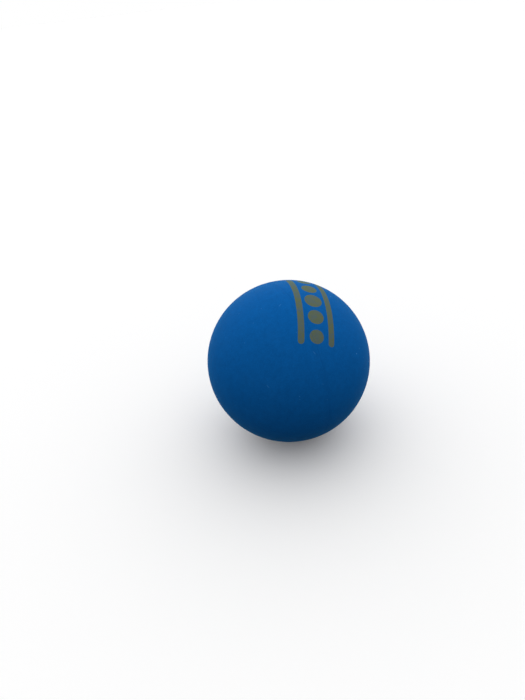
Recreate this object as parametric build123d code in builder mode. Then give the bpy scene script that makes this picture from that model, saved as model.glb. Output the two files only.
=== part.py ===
from build123d import *

import os

# A racquetball: two moulded rubber half shells, cemented edge to edge into one hollow, sealed ball.
# Millimetres. The origin is the ball's centre. +X is square to the seam, through the middle of the printed
# half, and +Z is up, so the seam stands upright and the ball rests on it.

# Driving dimensions
ball_diameter = 57.15  # two and a quarter inches, as the rules of the game give it
wall = 4.1  # a ball of 39.7 g in filled rubber of 1.1 g/cm3 has this wall
film_thickness = 0.12  # cured cement between the two flat edges
lip_radius = 0.15  # the round that buffing leaves on each half's outer edge
film_recess = 0.02  # depth of the film's rim below the ball's surface, after buffing
bead_radius = 0.9  # the roll of cement that is squeezed out inside the ball

# Sizes that follow from them
outer_radius = ball_diameter / 2
inner_radius = outer_radius - wall
edge_face = film_thickness / 2  # distance of each flat edge from the seam plane
groove_width = film_thickness + 2 * lip_radius

os.makedirs("parts", exist_ok=True)

# Printed half shell: the +X half, a hemisphere whose flat edge faces the seam plane
with BuildPart() as printed_half_shell:
    with BuildSketch(Plane.XY) as wall_section:
        Circle(outer_radius)
        Circle(inner_radius, mode=Mode.SUBTRACT)
        with Locations((edge_face, 0)):
            Rectangle(outer_radius, outer_radius, align=(Align.MIN, Align.MIN), mode=Mode.INTERSECT)
        lip = wall_section.vertices().sort_by(Axis.Y)[-1]
        fillet(lip, lip_radius)
    revolve(axis=Axis.X)
printed_half_shell.part.label = "printed_half_shell"
export_step(printed_half_shell.part, "parts/printed_half_shell.step")

# Plain half shell: the same moulding, turned to face the first one across the seam
with BuildPart() as plain_half_shell:
    mirror(printed_half_shell.part, about=Plane.YZ)
plain_half_shell.part.label = "plain_half_shell"
export_step(plain_half_shell.part, "parts/plain_half_shell.step")

# Seam cement: a film between the flat edges, up to the groove between the lips, with a roll inside the ball
with BuildPart() as seam_cement:
    with BuildSketch(Plane.XY) as cement_section:
        with Locations((0, inner_radius)):
            Circle(bead_radius)
            Rectangle(groove_width, wall - film_recess, align=(Align.CENTER, Align.MIN))
        add(wall_section.sketch, mode=Mode.SUBTRACT)
        mirror(wall_section.sketch, about=Plane.YZ, mode=Mode.SUBTRACT)
    revolve(axis=Axis.X)
seam_cement.part.label = "seam_cement"
export_step(seam_cement.part, "parts/seam_cement.step")
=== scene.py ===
import functools
import math

import bmesh
import bpy
import numpy as np
from mathutils import Matrix, Vector, noise


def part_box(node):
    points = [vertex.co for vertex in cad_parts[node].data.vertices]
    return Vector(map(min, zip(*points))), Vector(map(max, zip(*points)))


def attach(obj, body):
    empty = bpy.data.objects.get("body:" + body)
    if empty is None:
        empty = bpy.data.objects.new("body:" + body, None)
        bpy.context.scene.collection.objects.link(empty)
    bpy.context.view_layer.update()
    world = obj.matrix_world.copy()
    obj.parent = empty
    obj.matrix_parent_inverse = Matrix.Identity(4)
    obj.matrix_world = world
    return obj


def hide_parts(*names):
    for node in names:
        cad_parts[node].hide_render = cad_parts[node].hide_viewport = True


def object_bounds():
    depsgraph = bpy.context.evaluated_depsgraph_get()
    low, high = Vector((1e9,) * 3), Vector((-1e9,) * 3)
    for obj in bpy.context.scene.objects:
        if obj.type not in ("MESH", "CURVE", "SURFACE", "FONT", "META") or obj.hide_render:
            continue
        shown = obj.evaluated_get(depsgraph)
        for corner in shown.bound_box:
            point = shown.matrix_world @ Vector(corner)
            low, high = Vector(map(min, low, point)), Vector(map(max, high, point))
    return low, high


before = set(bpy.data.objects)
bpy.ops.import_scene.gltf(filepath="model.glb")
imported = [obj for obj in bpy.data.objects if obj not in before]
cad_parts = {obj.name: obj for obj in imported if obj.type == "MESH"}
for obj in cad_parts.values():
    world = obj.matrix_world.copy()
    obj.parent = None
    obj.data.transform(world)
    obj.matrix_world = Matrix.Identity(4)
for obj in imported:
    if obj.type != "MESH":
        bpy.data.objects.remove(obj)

cad_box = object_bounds()

# Printed half shell
# A hemisphere of filled blue rubber, compression moulded about the X axis. Its flat edge is buffed, coated
# with cement and pressed against the other half's, and the joint is buffed again. A mark is then printed on
# it, beside the joint and a little across it.
mm = 0.001
half_low, half_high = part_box("printed_half_shell")
ball_radius = half_high.x
edge_face = half_low.x
wall = 4.1 * mm
inner_radius = ball_radius - wall
lip_radius = 0.15 * mm

# Rows of the mesh: even rings over the dome, then closer rows up to the seam and round the lip
dome_rings = 80
seam_band = 2.6 * mm
band_rows = 14
band_crowding = 1.6
lip_rows = 6
sharp_edge = math.radians(50)

# Relief of the skin: it is a little out of round, peeled by the mould, and buffed to a trough at the seam
warp_height = 0.03 * mm
warp_size = 20 * mm
peel_height = 0.006 * mm
peel_size = 2.4 * mm
fine_peel_height = 0.003 * mm
fine_peel_size = 1.2 * mm
trough_depth = 0.02 * mm
trough_width = 0.65 * mm
trough_change = 0.5
trough_change_size = 4 * mm

# The flat map that a half's finish is baked on: the skin fills most of it, and the lining has a corner
skin_middle = 0.5
skin_disc = 0.485
lining_middle = 0.09
lining_disc = 0.074


def bent_grid(rings):
    """A square grid whose rings are bent into circles: each point's ring and bearing, and the quads."""
    side = 2 * rings + 1
    steps = np.arange(side) - rings
    across, up = np.meshgrid(steps, steps, indexing="ij")
    ring = np.maximum(abs(across), abs(up))

    # Each side of a square ring bends into a quarter circle, and a point keeps its share of the way along it
    flank = abs(across) >= abs(up)
    quarter = np.where(flank, np.where(across >= 0, 0, 2), np.where(up >= 0, 1, 3))
    share = np.where(flank, up * np.sign(across), -across * np.sign(up)) / np.maximum(ring, 1)
    bearing = (quarter + share / 2) * math.pi / 2

    corner = np.arange(side * side).reshape(side, side)
    quads = np.stack([corner[:-1, :-1], corner[1:, :-1], corner[1:, 1:], corner[:-1, 1:]], axis=-1)
    return ring.ravel(), bearing.ravel(), quads.reshape(-1, 4)


def seam_profile(band_polar):
    """The section (x, r) from the end of the dome over the seam band and the lip to the flat edge."""
    lip_x = edge_face + lip_radius
    lip_r = math.sqrt((ball_radius - lip_radius) ** 2 - lip_x**2)
    lip_polar = math.atan2(lip_r, lip_x)
    section = []
    for step in range(1, band_rows + 1):
        share = 1 - (1 - step / band_rows) ** band_crowding
        polar = band_polar + share * (lip_polar - band_polar)
        section.append((ball_radius * math.cos(polar), ball_radius * math.sin(polar)))
    for step in range(1, lip_rows + 1):
        turn = lip_polar + step / lip_rows * (math.pi - lip_polar)
        section.append((lip_x + lip_radius * math.cos(turn), lip_r + lip_radius * math.sin(turn)))
    return section


def surface_relief(point):
    """How far the moulded and buffed skin stands out of the true sphere at a point, in metres."""
    warp = warp_height * noise.noise(point / warp_size)
    peel = peel_height * noise.noise(point / peel_size)
    fine_peel = fine_peel_height * noise.noise(point / fine_peel_size)
    uneven = 1 + trough_change * noise.noise(point / trough_change_size)
    trough = trough_depth * uneven * math.exp(-((point.x / trough_width) ** 2))
    return warp + peel + fine_peel - trough


def new_object(name, data):
    """An object in the scene that holds a mesh or a camera."""
    made = bpy.data.objects.new(name, data)
    bpy.context.scene.collection.objects.link(made)
    return made


def mesh_piece(name, points, faces):
    """A smooth-shaded object from points and quads, with its normals turned outwards."""
    mesh = bpy.data.meshes.new(name)
    mesh.from_pydata(points.tolist(), [], faces.tolist())
    shaping = bmesh.new()
    shaping.from_mesh(mesh)
    bmesh.ops.recalc_face_normals(shaping, faces=shaping.faces)
    shaping.to_mesh(mesh)
    shaping.free()
    mesh.shade_smooth()
    mesh.set_sharp_from_angle(angle=sharp_edge)
    return new_object(name, mesh)


def flat_map(mesh, points, skin_count):
    """Lays the skin and the lip out as one disc, and the lining and the flat edge as a small one."""
    reach = np.linalg.norm(points, axis=1, keepdims=True)
    facing = points / reach
    even_disc = facing[:, 1:] / np.sqrt(1 + abs(facing[:, :1]))

    # The lip turns in to the centre, and the flat edge runs out from the lining; here both go on outwards
    skin = skin_middle + skin_disc * even_disc * (2 - reach / ball_radius)
    lining = lining_middle + lining_disc * even_disc * reach / inner_radius
    corners = np.empty(len(mesh.loops), np.int32)
    mesh.loops.foreach_get("vertex_index", corners)
    lined = np.repeat((corners.reshape(-1, 4) >= skin_count).any(axis=1), 4)
    places = np.where(lined[:, None], lining[corners], skin[corners])
    mesh.uv_layers.new(name="OFBake").uv.foreach_set("vector", places.astype(np.float32).ravel())


def half_shell(name, side):
    """One half as a closed mesh: outer dome, seam band, rounded lip, flat edge and inner dome."""
    ring, bearing, quads = bent_grid(dome_rings)
    rim = np.flatnonzero(ring == dome_rings)
    rim = rim[np.argsort(bearing[rim] % math.tau)]

    def placed(x, r, around):
        return np.stack(np.broadcast_arrays(side * x, r * np.cos(around), r * np.sin(around)), axis=-1)

    def dome(radius, edge_polar):
        polar = ring / dome_rings * edge_polar
        return placed(radius * np.cos(polar), radius * np.sin(polar), bearing)

    band_polar = math.acos(seam_band / ball_radius)
    section = seam_profile(band_polar)
    skin_rows = [placed(x, r, bearing[rim]) for x, r in section]
    skin = np.concatenate([dome(ball_radius, band_polar)] + skin_rows)
    lift = np.array([surface_relief(Vector(point)) for point in skin])
    skin += skin / np.linalg.norm(skin, axis=1, keepdims=True) * lift[:, None]
    lining = dome(inner_radius, math.acos(edge_face / inner_radius))

    # Rows of quads join the rim of the dome, each ring of the section and the rim of the lining
    loops = [rim]
    for row in range(len(section)):
        loops.append(len(ring) + row * len(rim) + np.arange(len(rim)))
    loops.append(len(skin) + rim)
    faces = [quads, quads + len(skin)]
    for above, below in zip(loops, loops[1:]):
        faces.append(np.stack([above, np.roll(above, -1), np.roll(below, -1), below], axis=-1))
    points = np.concatenate([skin, lining])
    piece = mesh_piece(name, points, np.concatenate(faces))
    flat_map(piece.data, points, len(skin))
    return piece


class Value:
    """An output socket of a node tree. Sums and products of it add Math nodes to that tree."""

    def __init__(self, socket):
        self.socket = socket
        self.tree = socket.id_data

    @classmethod
    def node(cls, tree, kind, settings, sockets, output=0):
        """Any node: its settings come first, and then its input sockets."""
        made = tree.nodes.new(kind)
        for setting, choice in settings.items():
            setattr(made, setting, choice)
        cls.fill(made, sockets)
        return cls(made.outputs[output])

    @staticmethod
    def fill(made, sockets):
        """Gives each input socket that is named a number, a colour or a link."""
        for key, given in sockets.items():
            if isinstance(given, Value):
                given.tree.links.new(given.socket, made.inputs[key])
            else:
                made.inputs[key].default_value = given

    def other(self, output):
        """Another output of the same node."""
        return Value(self.socket.node.outputs[output])

    def math(self, operation, second=0.0, third=0.0):
        sockets = {0: self, 1: second, 2: third}
        return Value.node(self.tree, "ShaderNodeMath", {"operation": operation}, sockets)

    def __add__(self, other):
        return self.math("ADD", other)

    def __sub__(self, other):
        return self.math("SUBTRACT", other)

    def __rsub__(self, other):
        return self.math("MULTIPLY_ADD", -1, other)

    def __mul__(self, other):
        return self.math("MULTIPLY", other)

    def __abs__(self):
        return self.math("ABSOLUTE")

    __radd__ = __add__
    __rmul__ = __mul__

    def swing(self, amount):
        """From minus half the amount to plus half of it as this value goes from 0 to 1."""
        return amount * (self - 0.5)

    def rise(self, low, high):
        """0 up to low, 1 from high on, and smooth between them; it falls where low is above high."""
        sockets = {"Value": self, "From Min": low, "From Max": high}
        return Value.node(self.tree, "ShaderNodeMapRange", {"interpolation_type": "SMOOTHSTEP"}, sockets)

    def mix(self, under, over):
        """A colour: under where this value is 0, over where it is 1, by a Mix node's inputs 6 and 7."""
        return Value.node(self.tree, "ShaderNodeMix", {"data_type": "RGBA"}, {0: self, 6: under, 7: over}, 2)


def new_finish(name):
    """A new material with its plain shader, and the call that adds a node to it."""
    material = bpy.data.materials.new(name)
    material.use_nodes = True
    return material, functools.partial(Value.node, material.node_tree)


def object_place(node):
    """The point being shaded, in the frame of the ball."""
    return node("ShaderNodeTexCoord", {}, {}, "Object")


def reach_along(node, place, direction):
    """How far a place lies along a direction."""
    return node("ShaderNodeVectorMath", {"operation": "DOT_PRODUCT"}, {0: place, 1: direction}, "Value")


def scaled(node, place, scale):
    """A place with each of its three parts scaled."""
    return node("ShaderNodeVectorMath", {"operation": "MULTIPLY"}, {0: place, 1: scale})


def cloud(node, place, size, detail):
    """Soft noise from 0 to 1 with lumps of a size."""
    return node("ShaderNodeTexNoise", {}, {"Vector": place, "Scale": 1 / size, "Detail": detail})


def shaded(node, colour, tone):
    """A plain colour made lighter or darker by a value about 1."""
    return node("ShaderNodeVectorMath", {"operation": "SCALE"}, {0: colour[:3], "Scale": tone})


# The print is a plain row of dots between two rules. It is pad printed on the finished ball in one pass of
# gold ink, which looks olive on blue, and it leans across the seam.
print_bearing = math.radians(72)
print_offset = 6.6 * mm
print_lean = math.radians(20)
rule_length = 31 * mm
rule_offset = 5.0 * mm
rule_width = 2.0 * mm
dot_radius = 2.9 * mm
dot_step = 0.3 * mm
dot_pitch = 6.9 * mm
dot_count = 5

# The ink is denser at its rim, patchy and grainy inside it, and has pinholes
ink_gold = (0.131, 0.150, 0.051, 1)
ink_softness = 0.10 * mm
ink_wobble = 0.14 * mm
ink_wobble_size = 0.7 * mm
ink_rim = 0.6 * mm
ink_at_rim = 0.92
ink_inside = 0.83
ink_patch_size = 2.0 * mm
ink_patch_limits = (0.35, 0.65)
ink_patch_change = 0.12
ink_grain_size = 0.4 * mm
ink_grain_change = 0.14
pinhole_size = 0.45 * mm
pinhole_limits = (0.76, 0.68)


def ink_cover(node, place):
    """How well the ink covers the ball: 0 off the print, and nearly 1 at its edges, where ink gathers."""
    seam_point = Vector((0, -math.cos(print_bearing), math.sin(print_bearing)))
    up_seam = Vector((0, math.sin(print_bearing), math.cos(print_bearing)))
    tilt = print_offset / ball_radius
    centre = math.cos(tilt) * seam_point + math.sin(tilt) * Vector((1, 0, 0))
    lengthwise = Matrix.Rotation(-print_lean, 3, centre) @ up_seam
    crosswise = centre.cross(lengthwise)

    def length(first, second):
        return (first * first + second * second).math("SQRT")

    # Distances on the ball from the middle of the print, along it and across it
    ahead = reach_along(node, place, centre)
    along = ball_radius * reach_along(node, place, lengthwise).math("ARCTAN2", ahead)
    across = ball_radius * reach_along(node, place, crosswise / ball_radius).math("ARCSINE")

    # Each rule is a line with round ends, and the dots grow smaller towards both ends of the row
    past_end = (abs(along) - rule_length / 2).math("MAXIMUM", 0)
    rule = length(past_end, abs(across) - rule_offset) - rule_width / 2
    number = (1 / dot_pitch * along).math("ROUND")
    dot = length(along - dot_pitch * number, across) - (dot_radius - dot_step * abs(number))
    dot_in_row = dot.math("MAXIMUM", abs(along) - dot_count * dot_pitch / 2)
    wobble = cloud(node, place, ink_wobble_size, detail=2).swing(ink_wobble)
    outline = rule.math("MINIMUM", dot_in_row) + wobble
    near_side = ahead.rise(0, ball_radius / 2)
    printed = outline.rise(ink_softness, -ink_softness) * near_side

    # The ink gathers at the rim, and it missed the grain of the rubber at the pinholes
    inside = outline.rise(0, -ink_rim)
    patch = cloud(node, place, ink_patch_size, detail=3).rise(*ink_patch_limits)
    grain = cloud(node, place, ink_grain_size, detail=3)
    cover = ink_at_rim - (ink_at_rim - ink_inside) * inside
    cover = cover + patch.swing(ink_patch_change) + grain.swing(ink_grain_change)
    pinholes = cloud(node, place, pinhole_size, detail=3).rise(*pinhole_limits)
    return printed * pinholes * cover


# Colours of the rubber, and of the bloom, the haze and the dust and lint on it
rubber_blue = (0.0030, 0.111, 0.393, 1)
bloom_blue = (0.010, 0.133, 0.420, 1)
haze_blue = (0.22, 0.95, 1.0, 1)
dust_blue = (0.07, 0.29, 0.68, 1)

# The compound's own unevenness, and the bloom that comes out of it in pale clouds
drift_size = 16 * mm
drift_change = 0.08
mottle_size = 1.9 * mm
mottle_change = 0.26
grain_size = 0.5 * mm
grain_change = 0.30
bloom_size = 7 * mm
bloom_limits = (0.45, 0.80)
bloom_cover = 0.16

# What buffing leaves along the seam: fine streaks. A darker band over the joint is painted shade of the
# shallow trough there, and a paler band beside it is a painted highlight on the trough's side that faces the
# light
buffed_reach = 4.6 * mm
buffed_fully = 1.4 * mm
streak_width = 0.16 * mm
streak_length = 7 * mm
streak_change = 0.14
waver_size = 3 * mm
# Painted shade over the joint, standing in for the shade in the shallow buffed trough
seam_painted_shade_middle = -0.3 * mm
seam_painted_shade_reach = 1.7 * mm
seam_painted_shade_waver = 0.6 * mm
seam_painted_shade_depth = 0.020
seam_painted_shade_change = 0.05
# Painted highlight beside the joint, standing in for light on the trough's side that faces it
seam_painted_highlight_middle = -2.3 * mm
seam_painted_highlight_reach = 1.5 * mm
seam_painted_highlight_waver = 1.2 * mm
seam_painted_highlight_strength = 0.026

# Dust and grit lie on the ball in round specks, and lint in short threads that are turned two ways
speck_fade = 0.3
dust_spacing = 3.6 * mm
dust_radius = 0.12 * mm
dust_kept = 0.5
dust_cover = 0.45
grit_spacing = 8 * mm
grit_radius = 0.24 * mm
grit_kept = 0.4
grit_cover = 0.70
lint_spacing = 2.6 * mm
lint_radius = 0.12 * mm
lint_kept = 0.5
lint_cover = 0.30
lint_draw = (1, 0.16, 1)
lint_turn = (-0.77, 0, -0.37)
crossing_lint_turn = (-0.28, 0, 1.12)

# The skin is dull, with a faint haze at grazing angles. The ink on it is smoother, and stands proud
skin_gloss = 0.01
skin_roughness = 0.62
mottle_roughness = 0.10
bloom_roughness = 0.06
ink_smoothness = 0.10
haze_weight = 0.09
haze_roughness = 0.35
skin_bump = 0.010 * mm
grain_height = 0.6
mottle_height = 0.4
streak_height = 0.5
ink_height = 0.8


def specks(node, place, spacing, radius, kept):
    """Small round spots, about a spacing apart, which fade out at the edge. Only a share is kept."""
    spread = node("ShaderNodeTexVoronoi", {}, {"Vector": place, "Scale": 1 / spacing}, "Distance")
    lot = node("ShaderNodeSeparateColor", {}, {0: spread.other("Color")})
    size = radius / spacing
    return spread.rise((1 + speck_fade) * size, (1 - speck_fade) * size) * lot.math("GREATER_THAN", 1 - kept)


def threads(node, place, turn):
    """Short threads that all lie one way: small spots, drawn out."""
    turned = node("ShaderNodeVectorRotate", {"rotation_type": "EULER_XYZ"}, {0: place, "Rotation": turn})
    return specks(node, scaled(node, turned, lint_draw), lint_spacing, lint_radius, lint_kept)


def blue_rubber(name):
    """Matte blue rubber with a faint bloom, fine grain, dust, a buffed seam band with painted shade and a
    painted highlight along it, and the print.
    """
    material, node = new_finish(name)
    place = object_place(node)

    # The compound's own colour: slow drift, small mottle and fine grain
    drift = cloud(node, place, drift_size, detail=3)
    mottle = cloud(node, place, mottle_size, detail=4)
    grain = cloud(node, place, grain_size, detail=2)
    tone = 1 + drift.swing(drift_change) + mottle.swing(mottle_change) + grain.swing(grain_change)

    # The buffed band along the seam, in which the painted shade over the joint and the painted highlight
    # beside it waver
    from_seam = node("ShaderNodeSeparateXYZ", {}, {0: place})
    buffed = abs(from_seam).rise(buffed_reach, buffed_fully)
    streak_place = scaled(node, place, (1 / streak_width, 1 / streak_length, 1 / streak_length))
    streak = cloud(node, streak_place, size=1, detail=2)
    waver = cloud(node, place, waver_size, detail=3)
    # Painted shade: a darker band over the joint, for the shade in the shallow buffed trough
    seam_painted_shade = abs(from_seam - seam_painted_shade_middle + waver.swing(seam_painted_shade_waver)).rise(seam_painted_shade_reach, 0)
    # Painted highlight: a paler band on one side of the joint, for the light on the trough's side that faces
    # it
    seam_painted_highlight = abs(from_seam - seam_painted_highlight_middle + waver.swing(seam_painted_highlight_waver)).rise(seam_painted_highlight_reach, 0)
    # The painted highlight is added to the tone here, and the painted shade is taken off on the next line
    tone = tone + buffed * streak.swing(streak_change) + seam_painted_highlight_strength * seam_painted_highlight
    tone = tone - seam_painted_shade * (seam_painted_shade_depth + drift.swing(seam_painted_shade_change))

    # Bloom comes out of the rubber, dust, grit and lint lie on it, and the ink covers them all
    bloom = cloud(node, place, bloom_size, detail=5).rise(*bloom_limits)
    dust = specks(node, place, dust_spacing, dust_radius, dust_kept)
    grit = specks(node, place, grit_spacing, grit_radius, grit_kept)
    lint = threads(node, place, lint_turn).math("MAXIMUM", threads(node, place, crossing_lint_turn))
    ink = ink_cover(node, place)
    colour = (bloom_cover * bloom).mix(shaded(node, rubber_blue, tone), bloom_blue)
    for fallen, cover in ((dust, dust_cover), (grit, grit_cover), (lint, lint_cover)):
        colour = (cover * fallen).mix(colour, dust_blue)
    colour = ink.mix(colour, ink_gold)

    roughness = skin_roughness + mottle.swing(mottle_roughness) + bloom_roughness * bloom
    roughness = roughness - ink_smoothness * ink
    height = grain_height * grain + mottle_height * mottle
    height = height + streak_height * buffed * streak + ink_height * ink
    bump = node("ShaderNodeBump", {}, {"Height": height, "Distance": skin_bump}, "Normal")
    skin_sockets = {
        "Base Color": colour,
        "Roughness": roughness,
        "Normal": bump,
        "Specular IOR Level": skin_gloss,
        "Sheen Weight": haze_weight,
        "Sheen Roughness": haze_roughness,
        "Sheen Tint": haze_blue,
    }
    Value.fill(material.node_tree.nodes["Principled BSDF"], skin_sockets)
    return material


printed_half = half_shell("printed_half", 1)
rubber = blue_rubber("blue_rubber")
printed_half.data.materials.append(rubber)
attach(printed_half, "root")
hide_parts("printed_half_shell")

# Plain half shell
# The same moulding from the same compound, facing the first half across the seam and cemented to it. Only
# the edge of the print reaches over onto it.
plain_half = half_shell("plain_half", -1)
plain_half.data.materials.append(rubber)
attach(plain_half, "root")
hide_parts("plain_half_shell")

# Seam cement
# A film of rubber cement between the two flat edges, cured under heat and pressure. Its rim shows as a fine
# line in the groove between the lips, and a roll of it is squeezed out inside the ball.
cement_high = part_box("seam_cement")[1]
film_rim = cement_high.z
film_recess = ball_radius - film_rim
rim_half_width = edge_face + lip_radius - math.sqrt(lip_radius**2 - (lip_radius - film_recess) ** 2)
rim_hollow = 0.012 * mm
bead_radius = cement_high.x
cement_segments = 8 * dome_rings  # as many as the rim of a half has
rim_steps = 6
bead_steps = 10
ripple_size = 1.3 * mm
rim_ripple = 0.006 * mm
bead_ripple = 0.15 * mm

# The cement is nearly the rubber's colour, but patchy, and takes the ink less well
cement_blue = (0.003, 0.108, 0.384, 1)
cement_patch_size = 1.5 * mm
cement_patch_change = 0.3
cement_roughness_change = 0.2
ink_on_cement = 0.85


def cement_section():
    """The section (x, r) of the film and its inner roll: a hollowed rim, a narrow neck and a round bead."""
    section = []
    for step in range(rim_steps + 1):
        share = 2 * step / rim_steps - 1
        section.append((rim_half_width * share, film_rim - rim_hollow * (1 - share**2)))
    neck = film_rim - lip_radius
    section.append((edge_face, neck))
    section.append((edge_face, inner_radius))
    for step in range(bead_steps + 1):
        turn = math.pi * step / bead_steps
        section.append((bead_radius * math.cos(turn), inner_radius - bead_radius * math.sin(turn)))
    section.append((-edge_face, inner_radius))
    section.append((-edge_face, neck))
    return section


def cement_ring(name):
    """The section carried round the X axis as one closed ring. Its rim follows the relief of the halves."""
    section = cement_section()
    count = len(section)
    points = []
    faces = []
    for segment in range(cement_segments):
        turn = math.tau * segment / cement_segments
        spoke = Vector((0, math.cos(turn), math.sin(turn)))
        here = segment * count
        there = (segment + 1) % cement_segments * count
        for place, (x, r) in enumerate(section):
            point = Vector((x, 0, 0)) + spoke * r
            ripple = noise.noise(point / ripple_size)
            if r > inner_radius:
                swell = surface_relief(point) + rim_ripple * ripple
            else:
                swell = bead_ripple * ripple
            points.append(point + spoke * swell)
            after = (place + 1) % count
            faces.append((here + place, here + after, there + after, there + place))
    return mesh_piece(name, np.array(points), np.array(faces))


def cured_cement(name):
    """Cured cement, patchy in colour and gloss, with the print running over it."""
    material, node = new_finish(name)
    place = object_place(node)
    patch = cloud(node, place, cement_patch_size, detail=4)
    colour = shaded(node, cement_blue, 1 + patch.swing(cement_patch_change))
    colour = (ink_on_cement * ink_cover(node, place)).mix(colour, ink_gold)
    roughness = skin_roughness + patch.swing(cement_roughness_change)
    cement_sockets = {"Base Color": colour, "Roughness": roughness, "Specular IOR Level": skin_gloss}
    Value.fill(material.node_tree.nodes["Principled BSDF"], cement_sockets)
    return material


cement = cement_ring("seam_film")
cement.data.materials.append(cured_cement("cured_cement"))
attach(cement, "root")
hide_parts("seam_cement")

# Floor
# A plain white sheet. It is white to the camera and in reflections, and dark to the light that it would
# throw back up, so the underside of the ball stays as deep as under a soft light from above.
floor_white = (1, 1, 1, 1)
floor_bounce = (0.035, 0.035, 0.035, 1)
floor_reach = 6.0


def background_seen(node):
    """1 for the rays that show the background: those of the camera, of gloss and of transmission."""
    camera_ray = node("ShaderNodeLightPath", {}, {}, "Is Camera Ray")
    any_of = camera_ray + camera_ray.other("Is Glossy Ray") + camera_ray.other("Is Transmission Ray")
    return any_of.math("MINIMUM", 1)


floor_z = cad_box[0].z
floor_sides = ((-1, -1), (1, -1), (1, 1), (-1, 1))
floor_corners = [(x * floor_reach, y * floor_reach, floor_z) for x, y in floor_sides]
floor_mesh = bpy.data.meshes.new("floor")
floor_mesh.from_pydata(floor_corners, [], [(0, 1, 2, 3)])
floor = new_object("floor", floor_mesh)
white_sheet, sheet_node = new_finish("white_sheet")
sheet_colour = background_seen(sheet_node).mix(floor_bounce, floor_white)
sheet = sheet_node("ShaderNodeBsdfDiffuse", {}, {"Color": sheet_colour})
Value.fill(white_sheet.node_tree.nodes["Material Output"], {"Surface": sheet})
floor_mesh.materials.append(white_sheet)

# Camera
# It stands where the photograph was taken from, above and in front of the ball. Its roll includes the lean
# of the ball in the photograph, because here the seam stands upright.
eye = Vector((-65.1, -144.4, 112.3)) * mm
view_heading = math.radians(-21.13)
view_pitch = math.radians(-33.96)
view_roll = math.radians(-6.27)
focal_length = 28.01
nearest_seen = 5 * mm

camera_data = bpy.data.cameras.new("camera")
camera_data.lens = focal_length
camera_data.clip_start = nearest_seen
camera = new_object("camera", camera_data)
heading = Matrix.Rotation(view_heading, 4, "Z")
pitch = Matrix.Rotation(math.pi / 2 + view_pitch, 4, "X")
roll = Matrix.Rotation(view_roll, 4, "Z")
camera.matrix_world = Matrix.Translation(eye) @ heading @ pitch @ roll
bpy.context.scene.camera = camera
bpy.context.scene.view_settings.view_transform = "Standard"

# Light
# A pale room, which is brighter behind the ball than on the camera's side, as if under a broad window. On
# average it lets a colour look as it is written, and it is plain white where it shows itself.
room_front = 0.455
room_back = 1.56
room_white = (1, 1, 1, 1)
room_turn = math.radians(-6)
room_heading = view_heading + room_turn
room_back_direction = (-math.sin(room_heading), math.cos(room_heading), 0)

world = bpy.data.worlds.new("room")
world.use_nodes = True
bpy.context.scene.world = world
room_node = functools.partial(Value.node, world.node_tree)
ray = room_node("ShaderNodeTexCoord", {}, {}, "Generated")
facing_back = reach_along(room_node, ray, room_back_direction)
room = room_front + (room_back - room_front) / 2 * (1 + facing_back)
seen = background_seen(room_node)
strength = room * (1 - seen) + seen
Value.fill(world.node_tree.nodes["Background"], {"Color": room_white, "Strength": strength})
